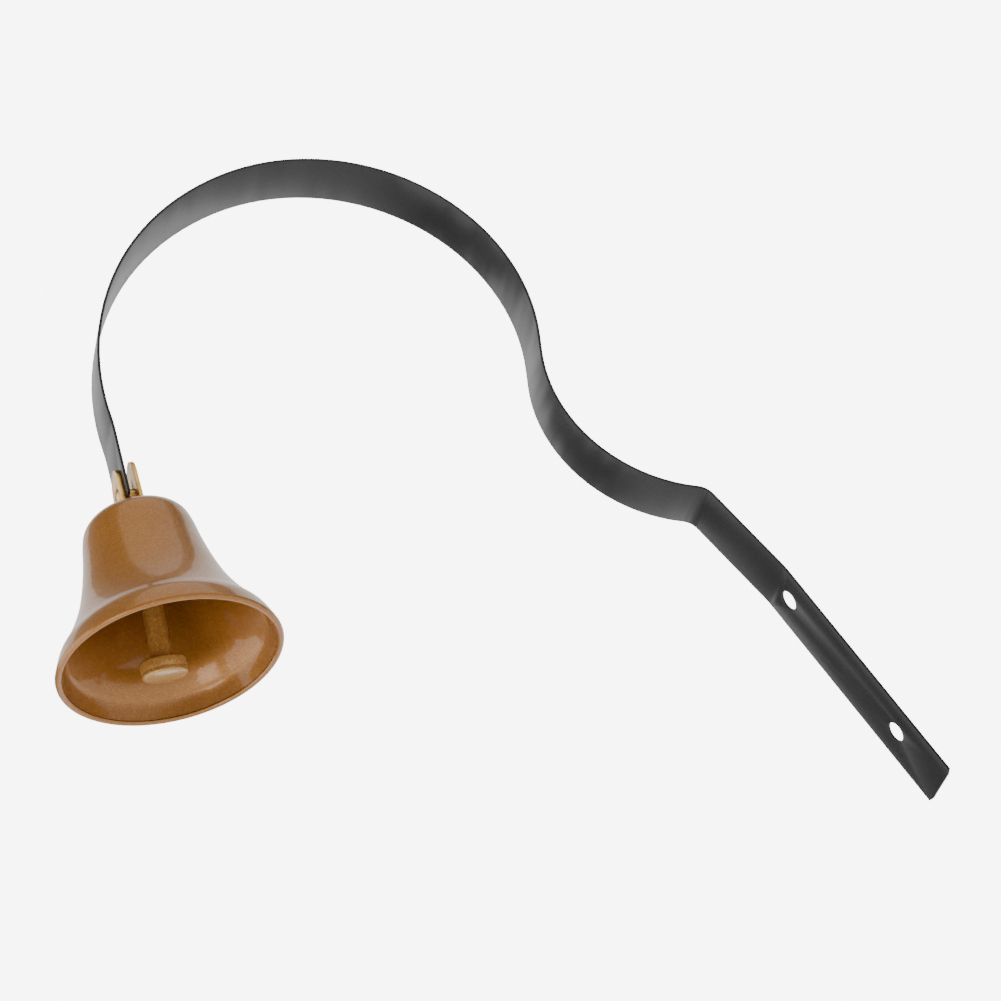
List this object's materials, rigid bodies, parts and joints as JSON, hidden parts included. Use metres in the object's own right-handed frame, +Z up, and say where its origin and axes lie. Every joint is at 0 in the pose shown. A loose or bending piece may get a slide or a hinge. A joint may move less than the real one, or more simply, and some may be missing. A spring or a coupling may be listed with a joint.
{
  "type": "wall mounted bell",
  "caption": "Flared metal bell with a hanging clapper, riveted by a U shackle to a bent flat spring strap that screws to a wall.",
  "frame": {"origin": "midway between the two screw holes, on the back face of the strap's leg", "axes": "+Y into the wall, +Z up along the leg, +X across the strap; the bell hangs on the -Y side"},
  "size_m": [0.0537, 0.1656, 0.2264],
  "materials": {
    "strap_paint": "satin black paint on spring steel strip",
    "bell_paint": "glossy gold-brown metallic flake enamel",
    "clapper_paint": "glossy gold-brown metallic flake enamel",
    "brass": "polished yellow brass",
    "zinc": "dull zinc-plated steel"
  },
  "bodies": {
    "strap": {"spring_strap": "strap_paint"},
    "bell": {"bell_cup": "bell_paint", "shackle": "brass", "pivot_rivet": "brass", "eye_rivet": "brass", "inner_washer": "zinc"},
    "link": {"clapper_link": "zinc"},
    "clapper": {"clapper": "clapper_paint"}
  },
  "joints": [
    {"name": "bell_swing", "type": "hinge", "parent": "strap", "child": "bell", "pos_m": [0, -0.12332, 0.12469], "axis": [0, 0.9304, -0.3665], "range_deg": [-9.3, 16.7]},
    {"name": "link_swing", "type": "hinge", "parent": "bell", "child": "link", "pos_m": [0.00078, -0.12773, 0.1135], "axis": [0.9979, 0.0237, 0.06], "range_deg": [-12, 12]},
    {"name": "clapper_swing", "type": "hinge", "parent": "link", "child": "clapper", "pos_m": [0.00094, -0.12868, 0.11109], "axis": [0, 0.9304, -0.3665], "range_deg": [-43, 11]}
  ]
}
